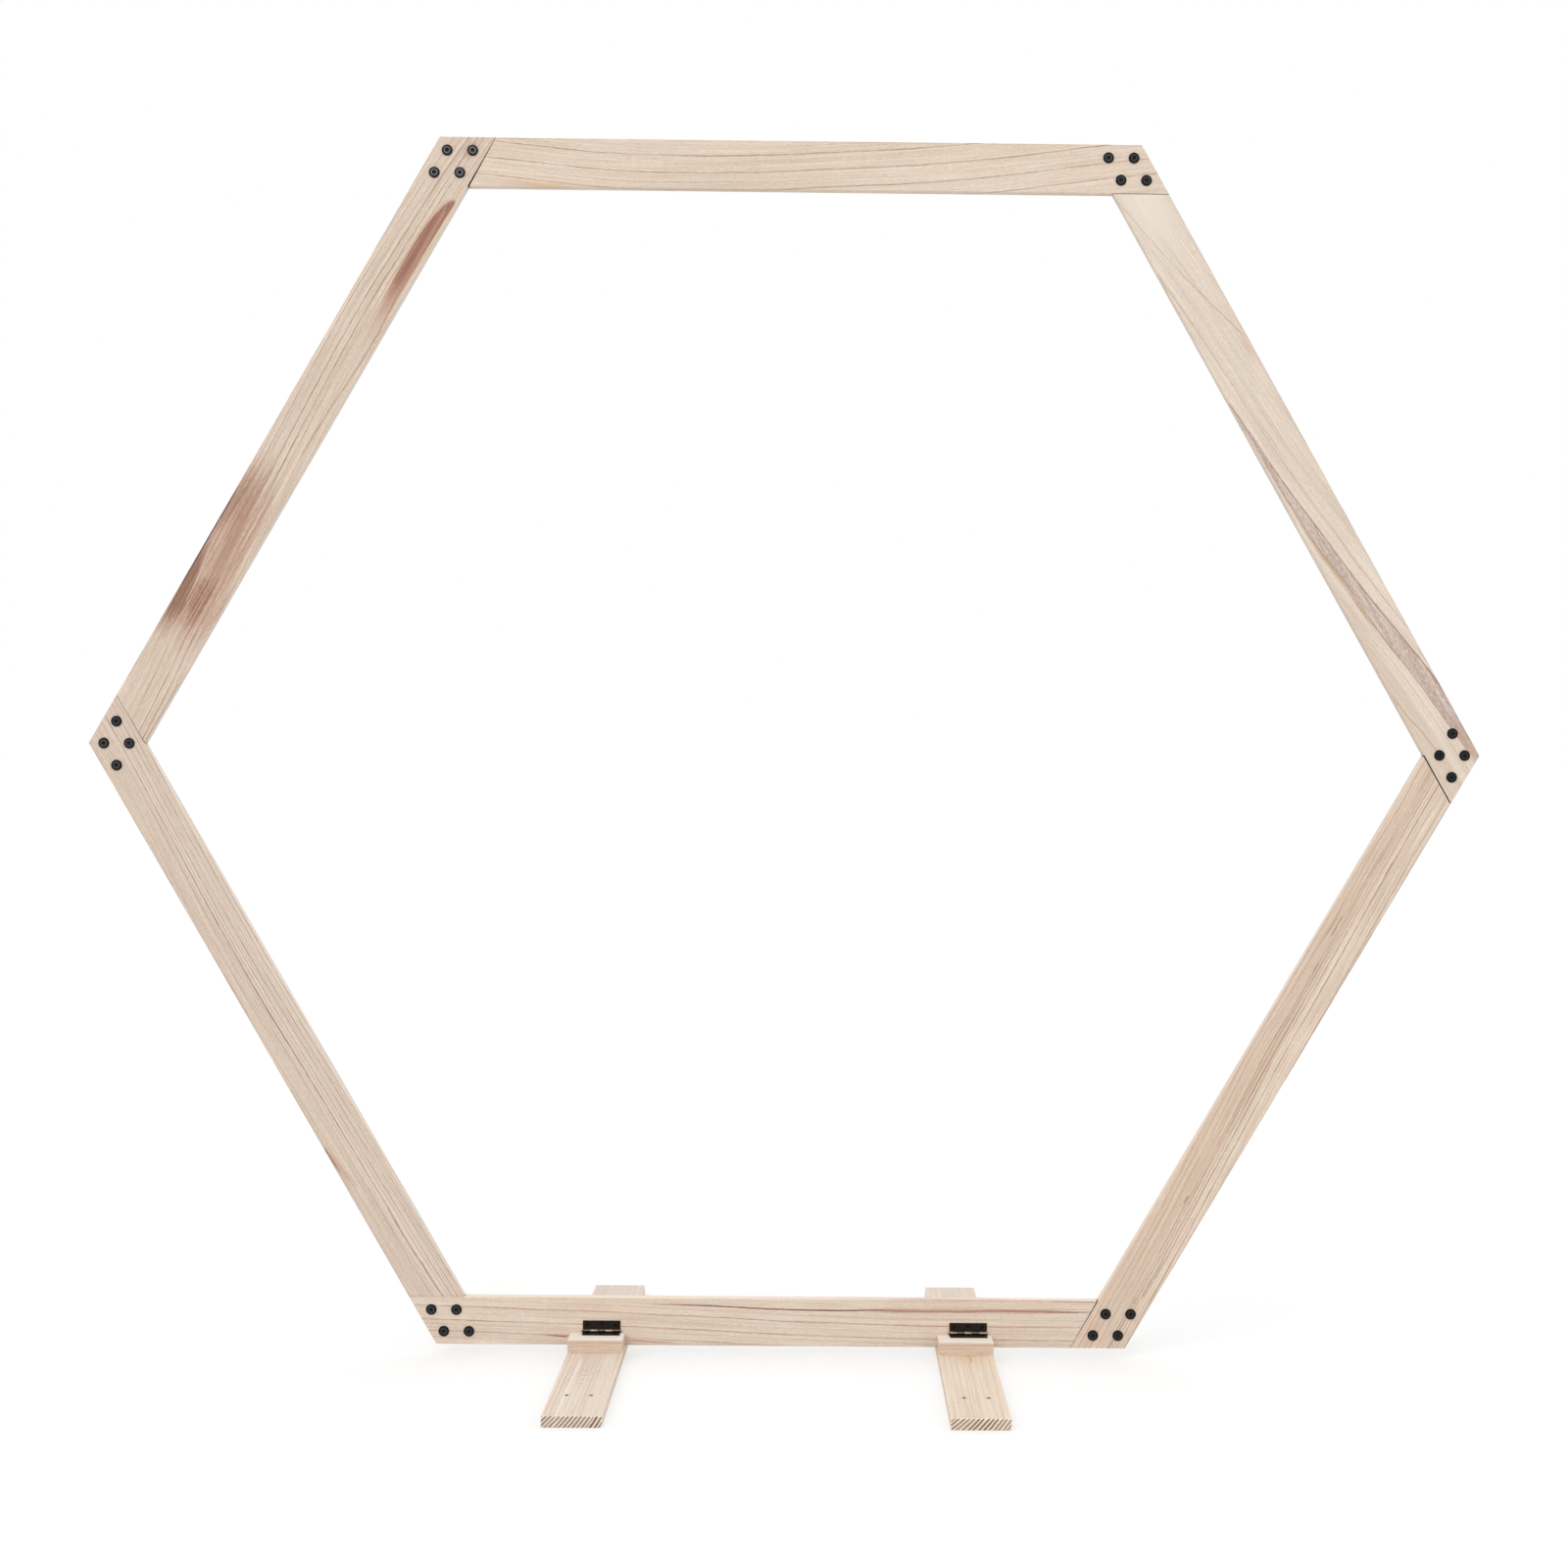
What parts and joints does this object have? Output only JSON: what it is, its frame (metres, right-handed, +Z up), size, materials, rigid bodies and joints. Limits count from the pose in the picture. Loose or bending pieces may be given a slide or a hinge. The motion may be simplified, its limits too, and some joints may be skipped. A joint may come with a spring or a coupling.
{
  "type": "wedding arch",
  "caption": "Free-standing hexagon wedding arch of half-lapped wooden boards, bolted at the corners, on flat feet that fold up on butt hinges.",
  "frame": {"origin": "on the floor under the middle of the arch, below the middle of the boards' thickness", "axes": "+X to the right and +Y to the back as the arch is seen from the front, +Z up"},
  "size_m": [2.2, 0.8, 1.9223],
  "materials": {
    "wood_top": "planed, unfinished",
    "wood_upper_right": "planed, unfinished",
    "wood_lower_right": "planed, unfinished",
    "wood_bottom": "planed, unfinished",
    "wood_lower_left": "planed, unfinished",
    "wood_upper_left": "planed, unfinished",
    "wood_foot_left": "planed, unfinished",
    "wood_foot_right": "planed, unfinished",
    "black_steel": "satin black oxide",
    "dark_bronze": "satin dark bronze"
  },
  "bodies": {
    "frame": {"board_top": "wood_top", "board_upper_right": "wood_upper_right", "board_lower_right": "wood_lower_right", "board_bottom": "wood_bottom", "board_lower_left": "wood_lower_left", "board_upper_left": "wood_upper_left", "bolts_top_right": "black_steel", "bolts_right": "black_steel", "bolts_bottom_right": "black_steel", "bolts_bottom_left": "black_steel", "bolts_left": "black_steel", "bolts_top_left": "black_steel", "cap_nuts_top_right": "black_steel", "cap_nuts_right": "black_steel", "cap_nuts_bottom_right": "black_steel", "cap_nuts_bottom_left": "black_steel", "cap_nuts_left": "black_steel", "cap_nuts_top_left": "black_steel", "hinge_frame_leaf_left": "dark_bronze", "hinge_pin_left": "dark_bronze", "hinge_frame_screws_left": "dark_bronze", "hinge_frame_leaf_right": "dark_bronze", "hinge_pin_right": "dark_bronze", "hinge_frame_screws_right": "dark_bronze"},
    "foot_left": {"foot_board_left": "wood_foot_left", "foot_block_left": "wood_foot_left", "hinge_foot_leaf_left": "dark_bronze", "hinge_foot_screws_left": "dark_bronze"},
    "foot_right": {"foot_board_right": "wood_foot_right", "foot_block_right": "wood_foot_right", "hinge_foot_leaf_right": "dark_bronze", "hinge_foot_screws_right": "dark_bronze"}
  },
  "joints": [
    {"name": "fold_left", "type": "hinge", "parent": "frame", "child": "foot_left", "pos_m": [-0.2925, -0.01175, 0.03975], "axis": [-1, 0, 0], "range_deg": [0, 90]},
    {"name": "fold_right", "type": "hinge", "parent": "frame", "child": "foot_right", "pos_m": [0.2925, -0.01175, 0.03975], "axis": [-1, 0, 0], "range_deg": [0, 90]}
  ]
}
